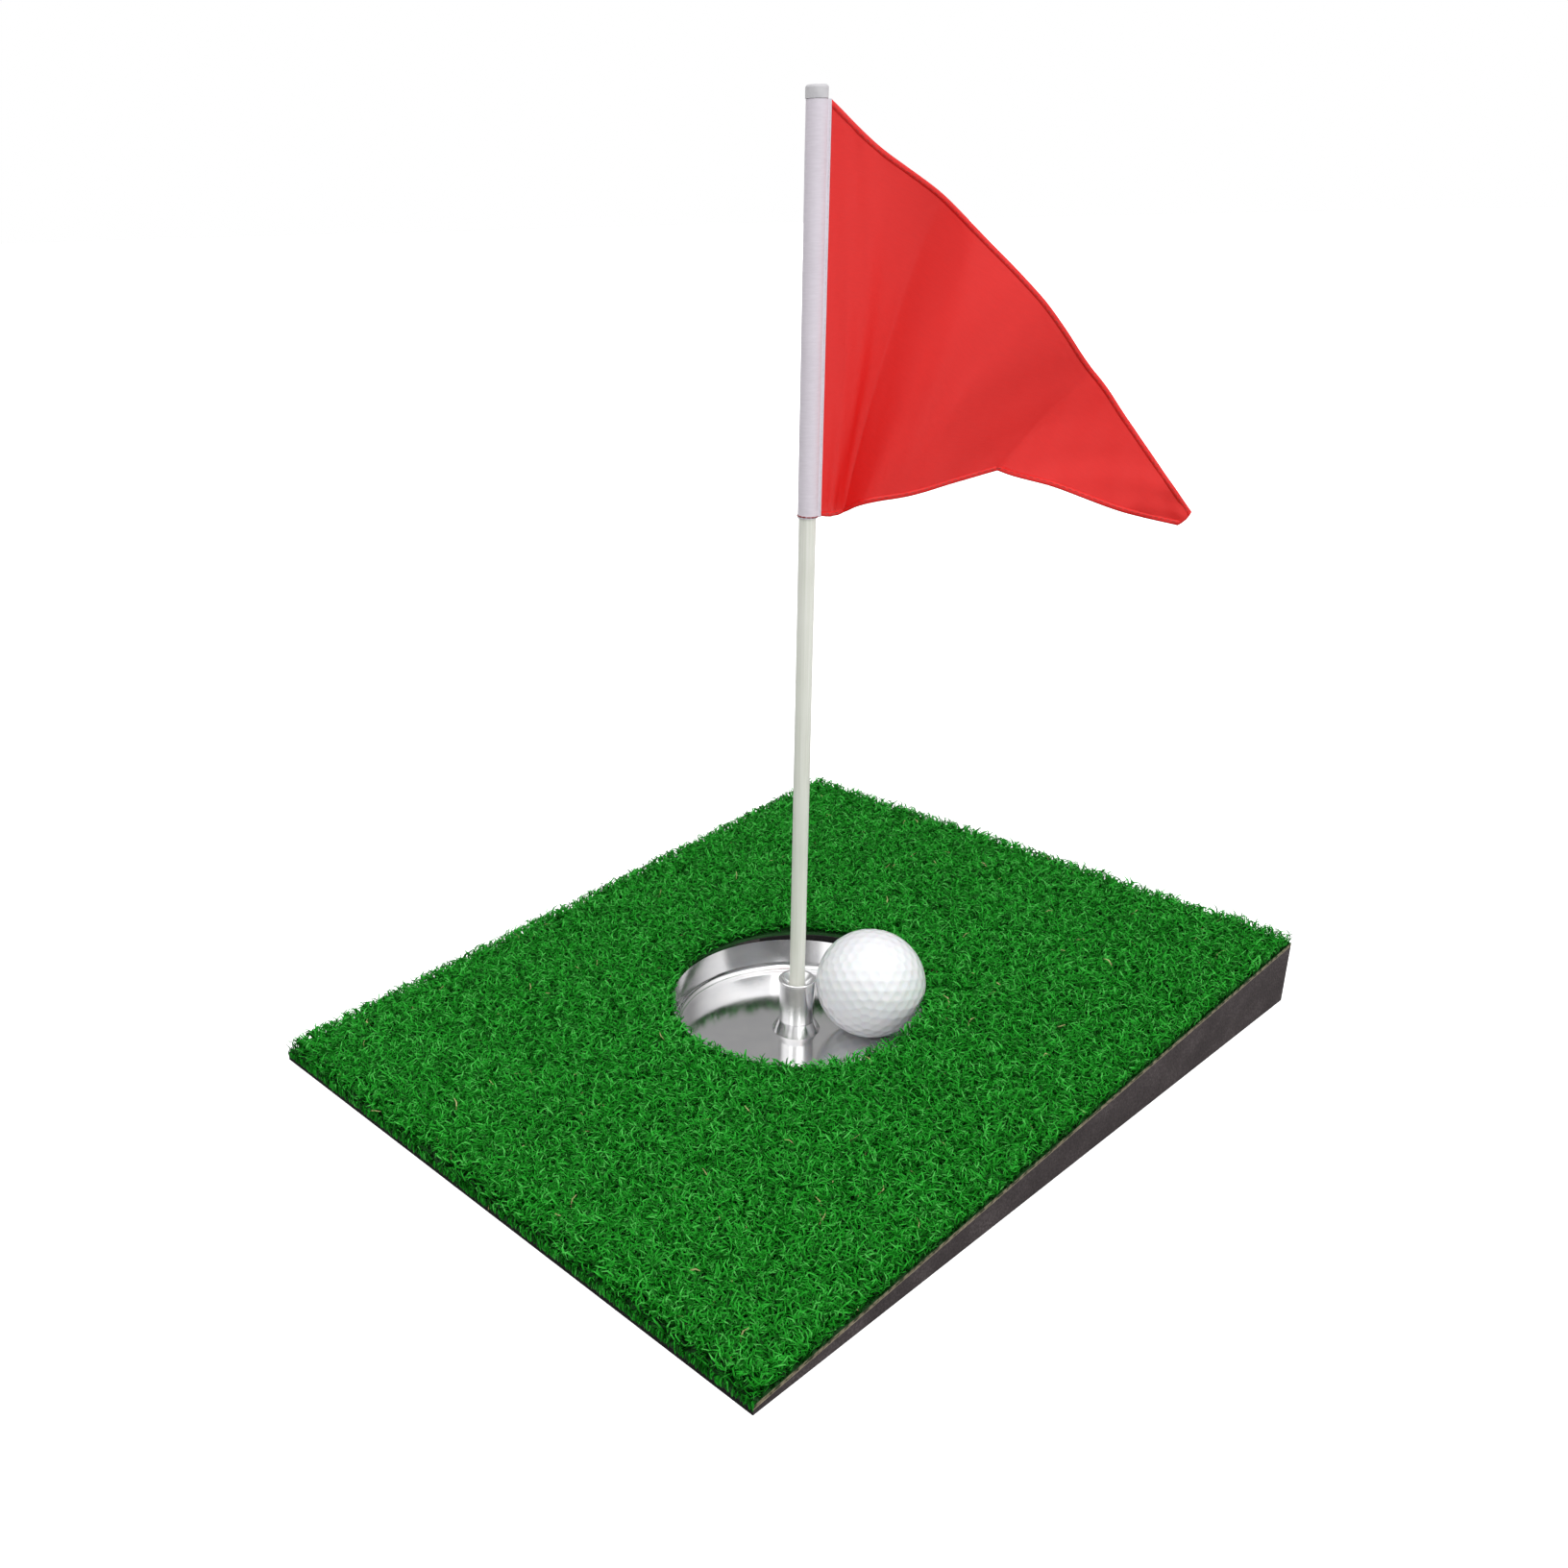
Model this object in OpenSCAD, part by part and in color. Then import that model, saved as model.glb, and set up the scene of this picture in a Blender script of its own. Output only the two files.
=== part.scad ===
// Practice putting target: a turf-covered foam ramp with a steel cup, a post in the cup that
// holds a slim rod, a pennant that swivels on the rod, and a golf ball lying in the cup.
// Millimetres, +Z up. X runs across the ramp and Y from its low edge to its high edge.
// The origin is on the floor, on the axis of the cup, the post and the rod.

/* [Ramp] */
// Width of the ramp, along X
ramp_w = 250; // [200:5:320]
// Length of the ramp, along Y
ramp_l = 315; // [260:5:420]
// Thickness of the foam at the low edge
toe_t = 1.8; // [1:0.2:5]
// Thickness of the foam at the high edge
heel_t = 25; // [18:0.5:36]

/* [Turf] */
// Thickness of the glue film between the foam and the turf
glue_t = 0.3; // [0.1:0.1:0.6]
// Thickness of the woven backing that holds the pile
backing_t = 1.2; // [0.8:0.1:2.5]
// Height of the pile above the backing
pile_h = 6; // [3:0.5:12]

/* [Cup] */
// Inside diameter of the cup
cup_d = 98.5; // [98:0.5:130]
// Thickness of the steel sheet
cup_t = 0.8; // [0.5:0.1:1.2]
// Radius of the inside corner between the cup's floor and its wall
cup_fillet = 3; // [1.5:0.5:5]
// Height of the cup
cup_h = 14.5; // [10:0.1:15]
// Radial gap between the cup and the hole in the foam and the turf
cup_gap = 0.3; // [0.2:0.1:1.5]
// Diameter of the pressed boss in the floor, at its foot
boss_foot_d = 18.8; // [17:0.2:26]
// Diameter of the boss at its flat top
boss_top_d = 14.2; // [14:0.1:17]
// Height of the boss above the cup's floor
boss_h = 4.5; // [4.2:0.1:8]

/* [Post] */
// Diameter of the post
post_d = 13.9; // [11:0.1:14]
// Height of the post above the boss
post_h = 18.2; // [16:0.2:40]
// Diameter of the lip round the post's mouth
lip_d = 14.6; // [14:0.1:18]
// Height of the lip
lip_h = 1.2; // [0.6:0.1:2]
// Diameter of the cone that leads into the socket, at the mouth
mouth_d = 12.2; // [10:0.2:13]
// Depth of the cone
mouth_h = 4; // [2:0.5:6]
// Depth of the socket below the post's mouth
socket_depth = 13; // [10:0.5:14]
// Running gap round the rod in the socket
socket_gap = 0.05; // [0.02:0.01:0.1]

/* [Screw] */
// Diameter of the screw that holds the post
screw_d = 4; // [3:0.5:5]
// Diameter of the screw's head
screw_head_d = 7.6; // [6:0.2:9]
// Height of the screw's head
screw_head_h = 2.2; // [1.2:0.1:2.4]
// How far the screw reaches into the post
screw_reach = 4; // [2:0.5:5]
// Diameter of the recess for the driver
drive_d = 2.6; // [2:0.1:4]
// Depth of the recess for the driver
drive_h = 1.2; // [0.6:0.1:1.6]
// Diameter of the washer
washer_d = 11; // [9:0.5:12]
// Thickness of the washer
washer_t = 0.8; // [0.5:0.1:1]

/* [Rod] */
// Diameter of the rod
rod_d = 6; // [4:0.1:8]
// Length of the rod
rod_len = 324; // [240:2:600]
// Wall of the cap on the rod's top
cap_wall = 0.6; // [0.4:0.1:1.5]
// Length of the cap's skirt
cap_skirt = 2.6; // [1.5:0.1:8]
// Thickness of the cap's crown
cap_crown = 1.2; // [0.8:0.1:3]

/* [Flag] */
// Thickness of the sleeve's cloth round the rod
sleeve_t = 0.34; // [0.2:0.02:1]
// Running gap between the sleeve and the rod
sleeve_gap = 0.06; // [0.02:0.01:0.1]
// Length of the sleeve
sleeve_len = 127.6; // [80:1:240]
// Width of the seam that joins the sleeve to the flag
seam_w = 1.2; // [0.6:0.1:4]
// Thickness of the seam
seam_t = 0.8; // [0.4:0.1:2]
// Height of the flag's edge along the sleeve
flag_hoist = 126.8; // [60:1:200]
// How far the hanging flag reaches from the sleeve
flag_reach = 128.5; // [60:1:200]
// How far the flag's tip hangs below its top corner
flag_fall = 130.4; // [60:1:200]
// Width of the blunt tip
flag_tip = 6; // [3:0.5:12]
// How far the lower edge rises between the sleeve and the tip
flag_arch = 12; // [4:1:30]
// Depth that the flag's folds take up
flag_depth = 14; // [4:1:24]
// Direction of the flag, from +X towards +Y
flag_angle = 48; // [0:1:359]

/* [Ball] */
// Diameter of the golf ball
ball_d = 42.67; // [42.67:0.01:43.5]
// Gap between the ball and the post's lip
ball_gap = 0.15; // [0.1:0.05:1]
// Direction of the ball from the post, from +X towards +Y
ball_angle = 41.6; // [0:0.1:359]
// Gap under the ball, for the thickness of its contact with the floor
ball_lift = 0.02; // [0.01:0.01:0.1]

/* [Hidden] */
$fn = 96;
eps = 0.01;
cut = 1;

// The hole through the ramp, and a height above all of its layers
hole_r = cup_d / 2 + cup_t + cup_gap;
tall = heel_t + glue_t + backing_t + pile_h + 2 * cut;

// Heights inside the cup
boss_top = cup_t + boss_h;
washer_top = boss_top - cup_t;
head_top = washer_top - washer_t;
post_top = boss_top + post_h;

// The rod, its cap and the sleeve
rod_bottom = post_top - socket_depth;
rod_top = rod_bottom + rod_len;
cap_bottom = rod_top - cap_skirt;
cap_r = rod_d / 2 + cap_wall;
butt_gap = 0.1;
sleeve_top = cap_bottom - butt_gap;
sleeve_bore_r = rod_d / 2 + sleeve_gap;
sleeve_r = sleeve_bore_r + sleeve_t;
seam_end = sleeve_r + seam_w;
seam_top = sleeve_top - 0.4;

// The golf ball lies on the cup's floor, against the post's lip
ball_r = ball_d / 2;
ball_off = lip_d / 2 + ball_gap + ball_r;
ball_z = cup_t + ball_lift + ball_r;

// A layer of the ramp, between two lines that follow its slope
module sloped_layer(toe_low, toe_high, heel_low, heel_high) {
    rotate([90, 0, 90])
        linear_extrude(height = ramp_w, center = true)
            polygon([
                [-ramp_l / 2, toe_low], [ramp_l / 2, heel_low],
                [ramp_l / 2, heel_high], [-ramp_l / 2, toe_high]
            ]);
}

// A sheet of even height that lies on the foam, at a height above it, with the cup's hole in it
module turf_layer(low, high) {
    difference() {
        sloped_layer(toe_t + low, toe_t + high, heel_t + low, heel_t + high);
        translate([0, 0, -cut]) cylinder(h = tall, r = hole_r);
    }
}

module ramp_base() {
    color("#4a4142")
        difference() {
            sloped_layer(0, toe_t, 0, heel_t);
            translate([0, 0, -cut]) cylinder(h = tall, r = hole_r);
        }
}

module glue_film() {
    color("#b9a98c") turf_layer(0, glue_t);
}

module turf_backing() {
    color("#8d8468") turf_layer(glue_t, glue_t + backing_t);
}

module turf_pile() {
    low = glue_t + backing_t;
    color("#1d7a22") turf_layer(low, low + pile_h);
}

// A round can with a rounded lower corner
module can(r, corner, low, high) {
    translate([0, 0, low]) {
        cylinder(h = high - low, r = r - corner);
        translate([0, 0, corner]) cylinder(h = high - low - corner, r = r);
        rotate_extrude() translate([r - corner, corner]) circle(r = corner);
    }
}

// The pressed boss under the post, with a ring of the floor round it
module boss(ring_r) {
    screw_hole_r = screw_d / 2 + 0.2;
    inside = cup_t * 0.9;
    rotate_extrude()
        polygon([
            [screw_hole_r, boss_top - cup_t], [screw_hole_r, boss_top],
            [boss_top_d / 2, boss_top], [boss_foot_d / 2, cup_t], [ring_r, cup_t], [ring_r, 0],
            [boss_foot_d / 2 - inside, 0], [boss_top_d / 2 - inside, boss_top - cup_t]
        ]);
}

module hole_cup() {
    wall_r = cup_d / 2;
    ring_r = boss_foot_d / 2 + 1;
    overlap = 0.5;
    color("#c9cacc") {
        difference() {
            can(wall_r + cup_t, cup_fillet + cup_t, 0, cup_h);
            can(wall_r, cup_fillet, cup_t, cup_h + cut);
            translate([0, 0, -cut]) cylinder(h = cup_t + 2 * cut, r = ring_r - overlap);
        }
        boss(ring_r);
    }
}

module socket_post() {
    bore_r = rod_d / 2 + socket_gap;
    chamfer = 0.3;
    color("#c9cacc")
        rotate_extrude()
            polygon([
                [screw_d / 2, boss_top], [post_d / 2 - chamfer, boss_top], [post_d / 2, boss_top + chamfer],
                [post_d / 2, post_top - lip_h], [lip_d / 2, post_top - lip_h + chamfer],
                [lip_d / 2, post_top - chamfer], [lip_d / 2 - chamfer, post_top],
                [mouth_d / 2, post_top], [bore_r, post_top - mouth_h],
                [bore_r, rod_bottom - eps], [0, rod_bottom - eps],
                [0, boss_top + screw_reach], [screw_d / 2, boss_top + screw_reach]
            ]);
}

module post_washer() {
    color("#b4b6b8")
        translate([0, 0, head_top])
            difference() {
                cylinder(h = washer_t, d = washer_d);
                translate([0, 0, -cut]) cylinder(h = washer_t + 2 * cut, r = screw_d / 2 + 0.2);
            }
}

module post_screw() {
    shank_top = boss_top + screw_reach;
    color("#9fa1a3")
        difference() {
            union() {
                translate([0, 0, head_top - screw_head_h]) cylinder(h = screw_head_h, d = screw_head_d);
                translate([0, 0, head_top]) cylinder(h = shank_top - head_top, d = screw_d);
            }
            translate([0, 0, head_top - screw_head_h - cut])
                cylinder(h = drive_h + cut, d = drive_d, $fn = 6);
        }
}

module flag_rod() {
    tip_chamfer = 0.5;
    color("#dcdcd2")
        rotate_extrude()
            polygon([
                [0, rod_bottom], [rod_d / 2 - tip_chamfer, rod_bottom],
                [rod_d / 2, rod_bottom + tip_chamfer], [rod_d / 2, rod_top], [0, rod_top]
            ]);
}

// A push-on cap with a softly rounded crown
module rod_cap() {
    round_r = 0.9;
    crown_top = rod_top + cap_crown;
    color("#e4e4e6")
        rotate_extrude()
            difference() {
                union() {
                    translate([0, cap_bottom]) square([cap_r, crown_top - round_r - cap_bottom]);
                    translate([0, cap_bottom]) square([cap_r - round_r, crown_top - cap_bottom]);
                    translate([cap_r - round_r, crown_top - round_r])
                        intersection() {
                            circle(r = round_r);
                            square(round_r);
                        }
                }
                translate([-eps, cap_bottom - cut]) square([rod_d / 2 + eps, rod_top - cap_bottom + cut]);
            }
}

module flag_sleeve() {
    color("#d9d2dc")
        difference() {
            union() {
                translate([0, 0, sleeve_top - sleeve_len]) cylinder(h = sleeve_len, r = sleeve_r);
                rotate([0, 0, flag_angle])
                    translate([0, -seam_t / 2, sleeve_top - sleeve_len])
                        cube([seam_end, seam_t, seam_top - sleeve_top + sleeve_len]);
            }
            translate([0, 0, sleeve_top - sleeve_len - cut])
                cylinder(h = sleeve_len + 2 * cut, r = sleeve_bore_r);
        }
}

// The hanging pennant's outline, as deep as its folds
module flag_panel() {
    top = seam_top;
    low = top - flag_hoist;
    tip_x = seam_end + flag_reach;
    tip_z = top - flag_fall;
    blunt = flag_tip * sqrt(0.5);
    color("#dc3530")
        rotate([0, 0, flag_angle])
            rotate([90, 0, 0])
                linear_extrude(height = flag_depth, center = true)
                    polygon([
                        [seam_end, low], [seam_end + flag_reach / 2, low + flag_arch],
                        [tip_x - blunt, tip_z - blunt], [tip_x, tip_z], [seam_end, top]
                    ]);
}

module golf_ball() {
    color("#f3f4f6")
        rotate([0, 0, ball_angle])
            translate([ball_off, 0, ball_z]) sphere(r = ball_r);
}

ramp_base();
glue_film();
turf_backing();
turf_pile();
hole_cup();
socket_post();
post_washer();
post_screw();
flag_rod();
rod_cap();
flag_sleeve();
flag_panel();
golf_ball();
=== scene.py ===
"""Looks for a practice putting target: turf ramp, steel cup with its post, rod, pennant and golf ball.

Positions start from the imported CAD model, whose origin is in the middle of the hole, on the floor.
Lengths are in metres, and a number of millimetres is written as that number times MM.
"""

import math

import bmesh
import bpy
import numpy as np
from mathutils import Matrix, Vector


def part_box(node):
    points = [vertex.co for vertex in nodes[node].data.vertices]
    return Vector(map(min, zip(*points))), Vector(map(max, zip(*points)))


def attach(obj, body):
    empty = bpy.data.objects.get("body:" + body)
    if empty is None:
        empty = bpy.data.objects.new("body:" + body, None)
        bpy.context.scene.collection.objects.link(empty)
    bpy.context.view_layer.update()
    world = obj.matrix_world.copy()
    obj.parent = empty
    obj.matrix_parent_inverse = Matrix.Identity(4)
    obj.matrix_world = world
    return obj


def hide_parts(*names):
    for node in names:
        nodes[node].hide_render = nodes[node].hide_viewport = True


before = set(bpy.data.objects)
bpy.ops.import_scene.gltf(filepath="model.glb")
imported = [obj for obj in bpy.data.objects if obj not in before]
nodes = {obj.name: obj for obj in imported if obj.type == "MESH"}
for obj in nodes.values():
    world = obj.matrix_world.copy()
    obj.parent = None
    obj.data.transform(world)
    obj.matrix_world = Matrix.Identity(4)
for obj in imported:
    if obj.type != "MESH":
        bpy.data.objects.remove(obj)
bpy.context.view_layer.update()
scene = bpy.context.scene
MM = 0.001


# ---------------------------------------------------------------- shader nodes


def add(tree, kind, inputs=None, **settings):
    """A new shader node. A socket given as an input is linked, and a plain value is set."""
    made = tree.nodes.new(kind)
    for name, value in settings.items():
        setattr(made, name, value)
    for name, value in (inputs or {}).items():
        if isinstance(value, bpy.types.NodeSocket):
            tree.links.new(value, made.inputs[name])
        else:
            made.inputs[name].default_value = value
    return made


def link(tree, output, shader, socket):
    """Links a node's output to a socket of the shader, by the socket's name."""
    tree.links.new(output, shader.inputs[socket])


def math_node(tree, operation, a, b):
    return add(tree, "ShaderNodeMath", {0: a, 1: b}, operation=operation).outputs[0]


def ramp(tree, factor, stops, interpolation="LINEAR"):
    """A colour ramp. stops is [(position, grey or (r, g, b))]."""
    made = add(tree, "ShaderNodeValToRGB", {"Fac": factor})
    band = made.color_ramp
    band.interpolation = interpolation
    while len(band.elements) < len(stops):
        band.elements.new(1.0)
    for element, (position, colour) in zip(band.elements, stops):
        element.position = position
        rgb = (colour,) * 3 if isinstance(colour, (int, float)) else colour
        element.color = (*rgb, 1.0)
    return made.outputs["Color"]


def set_ramp(tree, shader, socket, factor, stops):
    """Sets a socket of the shader by a colour ramp."""
    link(tree, ramp(tree, factor, stops), shader, socket)


def levelled(tree, where):
    """The vector without its height."""
    return add(tree, "ShaderNodeVectorMath", {0: where, 1: (1, 1, 0)}, operation="MULTIPLY").outputs["Vector"]


def vector_length(tree, vector):
    return add(tree, "ShaderNodeVectorMath", {0: vector}, operation="LENGTH").outputs["Value"]


def unit_vector(tree, vector):
    return add(tree, "ShaderNodeVectorMath", {0: vector}, operation="NORMALIZE").outputs["Vector"]


def part_of(tree, vector, axis):
    """The X, Y or Z of a vector or a grey colour."""
    return add(tree, "ShaderNodeSeparateXYZ", {0: vector}).outputs[axis]


def soft_step(tree, value, low, high, top):
    """Rises smoothly from 0 at low to top at high."""
    return add(
        tree, "ShaderNodeMapRange",
        {"Value": value, "From Min": low, "From Max": high, "To Min": 0.0, "To Max": top},
        interpolation_type="SMOOTHSTEP",
    ).outputs["Result"]


def material(name, colour, roughness, metallic=0.0, **sockets):
    """A Principled material. Words in sockets use _ for spaces."""
    made = bpy.data.materials.new(name)
    made.use_nodes = True
    tree = made.node_tree
    shader = tree.nodes["Principled BSDF"]
    shader.inputs["Base Color"].default_value = (*colour, 1)
    shader.inputs["Roughness"].default_value = roughness
    shader.inputs["Metallic"].default_value = metallic
    for word, value in sockets.items():
        shader.inputs[word.replace("_", " ")].default_value = value
    return made, tree, shader


def own_position(tree, scale=(1, 1, 1)):
    """The point on the piece, in the CAD model's frame, stretched by scale."""
    where = add(tree, "ShaderNodeTexCoord").outputs["Object"]
    return add(tree, "ShaderNodeMapping", {"Vector": where, "Scale": scale}).outputs[0]


def noise(tree, where, scale, detail):
    return add(
        tree, "ShaderNodeTexNoise",
        {"Vector": where, "Scale": scale, "Detail": detail, "Roughness": 0.5},
    ).outputs["Fac"]


def cells(tree, where, scale, output="Distance"):
    return add(tree, "ShaderNodeTexVoronoi", {"Vector": where, "Scale": scale}).outputs[output]


def blend_colours(tree, factor, a, b):
    """Colour a where the factor is 0 and b where it is 1. Sockets 6, 7 and 2 are the Mix node's colours."""
    whole = [c if isinstance(c, bpy.types.NodeSocket) else (*c, 1) for c in (a, b)]
    return add(tree, "ShaderNodeMix", {0: factor, 6: whole[0], 7: whole[1]}, data_type="RGBA").outputs[2]


def bump(tree, shader, height, strength, distance):
    made = add(tree, "ShaderNodeBump", {"Height": height, "Strength": strength, "Distance": distance})
    link(tree, made.outputs[0], shader, "Normal")


# ---------------------------------------------------------------- camera, stage and light

# Where the camera stands round its target, in degrees, and its lens, in mm.
CAMERA_AZIMUTH = 47.75
CAMERA_ELEVATION = 23.71
CAMERA_ROLL = -1.4
CAMERA_DISTANCE = 0.4445
CAMERA_TARGET = Vector((0.0199, -0.0944, 0.12))
CAMERA_LENS = 32.24
CAMERA_SHIFT = (0.085, 0.0341)

# Brightness of the studio by height: the sine of the elevation, and the light there.
WORLD_STOPS = [(0.0, 0.4), (0.18, 0.4), (0.38, 0.36), (0.62, 0.4), (0.82, 0.55), (1.0, 0.62)]

# Soft patches of light: degrees round from the camera, elevation, full within, gone beyond, strength.
# The last one takes light away.
STUDIO_LOBES = [
    (52, 48, 6, 52, 1.02),
    (-72, 50, 8, 46, 1.05),
    (5, 75, 10, 45, 0.2),
    (14, 24, 5, 55, 0.55),
    (-42, -4, 10, 42, -0.34),
]

# Strip lights: degrees round from the camera, half their width, their lower and upper ends, strength.
STUDIO_STRIPS = [(-38, 13, 0.35, 0.75, 1.1), (12, 8, 0.3, 0.75, 1.3)]

# The floor: half its side, how far it lies below the ramp, and its paleness and glow.
FLOOR_HALF = 60.0
FLOOR_DROP = 0.2 * MM
FLOOR_PALE = 0.85
FLOOR_GLOW = 0.6

# What lights and reflections lose from the floor's paleness: a patch in one direction, as in STUDIO_LOBES,
# from how near it starts to where it is full, and a share next to the ramp that fades with distance.
FLOOR_PATCH = (-55, 0, 15, 48, 0.72)
FLOOR_PATCH_FROM, FLOOR_PATCH_FULL = 0.2, 0.45
FLOOR_NEAR_LOSS, FLOOR_NEAR, FLOOR_FAR = 0.7, 0.22, 0.55


def direction(azimuth, elevation):
    """Unit vector from the target to a point at that azimuth and elevation, in degrees."""
    a, e = math.radians(azimuth), math.radians(elevation)
    return Vector((math.sin(a) * math.cos(e), -math.cos(a) * math.cos(e), math.sin(e)))


def make_camera():
    data = bpy.data.cameras.new("photo_camera")
    data.lens = CAMERA_LENS
    data.sensor_width = 36.0
    data.shift_x, data.shift_y = CAMERA_SHIFT
    data.clip_start, data.clip_end = 0.01, 100.0
    camera = bpy.data.objects.new("photo_camera", data)
    scene.collection.objects.link(camera)
    back = direction(CAMERA_AZIMUTH, CAMERA_ELEVATION)
    level_right = (-back).cross(Vector((0, 0, 1))).normalized()
    level_up = level_right.cross(-back)
    roll = math.radians(CAMERA_ROLL)
    right = level_right * math.cos(roll) + level_up * math.sin(roll)
    up = level_up * math.cos(roll) - level_right * math.sin(roll)
    turn = Matrix((right, up, back)).transposed().to_4x4()
    camera.matrix_world = Matrix.Translation(CAMERA_TARGET + back * CAMERA_DISTANCE) @ turn
    scene.camera = camera


def lobe(tree, where, azimuth, elevation, inner, outer, strength):
    """Soft patch in one direction: full inside the inner angle and gone at the outer one, in degrees."""
    towards = direction(azimuth, elevation)
    near = add(tree, "ShaderNodeVectorMath", {0: where, 1: towards}, operation="DOT_PRODUCT").outputs["Value"]
    edge, full = math.cos(math.radians(outer)), math.cos(math.radians(inner))
    return soft_step(tree, near, edge, full, strength)


def strip(tree, where, height, azimuth, half_width, low, high, strength):
    """Tall soft strip light: half_width in degrees of azimuth, from one height to another."""
    heading = unit_vector(tree, levelled(tree, where))
    band = lobe(tree, heading, azimuth, 0, half_width * 0.4, half_width, strength)
    above = soft_step(tree, height, low - 0.08, low + 0.08, 1.0)
    below = soft_step(tree, height, high + 0.1, high - 0.1, 1.0)
    return math_node(tree, "MULTIPLY", band, math_node(tree, "MULTIPLY", above, below))


def make_world():
    """Soft lights from several sides and two strips that streak the steel. The camera sees plain white."""
    world = bpy.data.worlds.new("studio")
    scene.world = world
    world.use_nodes = True
    tree = world.node_tree
    tree.nodes.clear()
    where = add(tree, "ShaderNodeTexCoord").outputs["Generated"]
    height = part_of(tree, where, "Z")
    light = part_of(tree, ramp(tree, height, WORLD_STOPS, "B_SPLINE"), "X")
    for azimuth, *shape in STUDIO_LOBES:
        light = math_node(tree, "ADD", light, lobe(tree, where, CAMERA_AZIMUTH + azimuth, *shape))
    for azimuth, *shape in STUDIO_STRIPS:
        light = math_node(tree, "ADD", light, strip(tree, where, height, CAMERA_AZIMUTH + azimuth, *shape))
    seen = add(tree, "ShaderNodeLightPath").outputs["Is Camera Ray"]
    studio = add(tree, "ShaderNodeBackground", {"Color": (1, 1, 1, 1), "Strength": light}).outputs[0]
    backdrop = add(tree, "ShaderNodeBackground", {"Color": (1, 1, 1, 1), "Strength": 1.0}).outputs[0]
    mixed = add(tree, "ShaderNodeMixShader", {0: seen, 1: studio, 2: backdrop}).outputs[0]
    add(tree, "ShaderNodeOutputWorld", {0: mixed})


def make_stage():
    """A large floor. To the camera it is even white and glows a little, so that it stays pale out to the
    horizon. To all other light it is pale paper, darker round the ramp and in a broad patch in front of it.
    """
    mesh = bpy.data.meshes.new("floor")
    corner_signs = [(-1, -1), (1, -1), (1, 1), (-1, 1)]
    mesh.from_pydata([(x * FLOOR_HALF, y * FLOOR_HALF, 0) for x, y in corner_signs], [], [(0, 1, 2, 3)])
    floor = bpy.data.objects.new("floor", mesh)
    scene.collection.objects.link(floor)
    floor.location.z = -FLOOR_DROP
    paper, tree, shader = material(
        "floor_paper", (FLOOR_PALE,) * 3, 0.9, Specular_IOR_Level=0.1, Emission_Color=(1, 1, 1, 1)
    )
    seen = add(tree, "ShaderNodeLightPath").outputs["Is Camera Ray"]
    place = add(tree, "ShaderNodeTexCoord").outputs["Object"]
    away = vector_length(tree, place)
    azimuth, *shape = FLOOR_PATCH
    dark = lobe(tree, unit_vector(tree, place), CAMERA_AZIMUTH + azimuth, *shape)
    dark = math_node(tree, "MULTIPLY", dark, soft_step(tree, away, FLOOR_PATCH_FROM, FLOOR_PATCH_FULL, 1.0))
    fade = soft_step(tree, away, FLOOR_NEAR, FLOOR_FAR, FLOOR_NEAR_LOSS)
    near = math_node(tree, "SUBTRACT", FLOOR_NEAR_LOSS, fade)
    pale = math_node(tree, "SUBTRACT", FLOOR_PALE, math_node(tree, "MAXIMUM", dark, near))
    pale = math_node(tree, "MAXIMUM", seen, pale)
    grey = add(tree, "ShaderNodeCombineXYZ", {0: pale, 1: pale, 2: pale}).outputs[0]
    link(tree, grey, shader, "Base Color")
    link(tree, math_node(tree, "MULTIPLY", seen, FLOOR_GLOW), shader, "Emission Strength")
    mesh.materials.append(paper)


make_camera()
make_world()
make_stage()
scene.view_settings.view_transform = "Standard"


# ---------------------------------------------------------------- materials

# What lies nearer the hole's middle than this is its cut edge, and the dark colours painted on the cut edges
# as shade.
HOLE_EDGE = 53 * MM
FOAM_PAINTED_SHADE = (0.012, 0.011, 0.011)
GLUE_PAINTED_SHADE = (0.012, 0.012, 0.01)
BACKING_PAINTED_SHADE = (0.006, 0.07, 0.008)


def surface_normal(tree, axis):
    """One part of the direction that the surface faces in."""
    return part_of(tree, add(tree, "ShaderNodeNewGeometry").outputs["Normal"], axis)


def faces_front(tree):
    """1 on the cut edge at the ramp's toe, where dark shade is painted."""
    return math_node(tree, "LESS_THAN", surface_normal(tree, "Y"), -0.5)


def in_hole(tree):
    """1 on the cut edge round the hole, where dark shade is painted."""
    return math_node(tree, "LESS_THAN", vector_length(tree, levelled(tree, own_position(tree))), HOLE_EDGE)


def shaded_cut_edges(tree):
    """1 on both of those cut edges, where dark shade is painted."""
    return math_node(tree, "MAXIMUM", faces_front(tree), in_hole(tree))


def weighted(tree, a, share_a, b, share_b):
    """a times its share plus b times its share."""
    of_a, of_b = math_node(tree, "MULTIPLY", a, share_a), math_node(tree, "MULTIPLY", b, share_b)
    return math_node(tree, "ADD", of_a, of_b)


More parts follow.
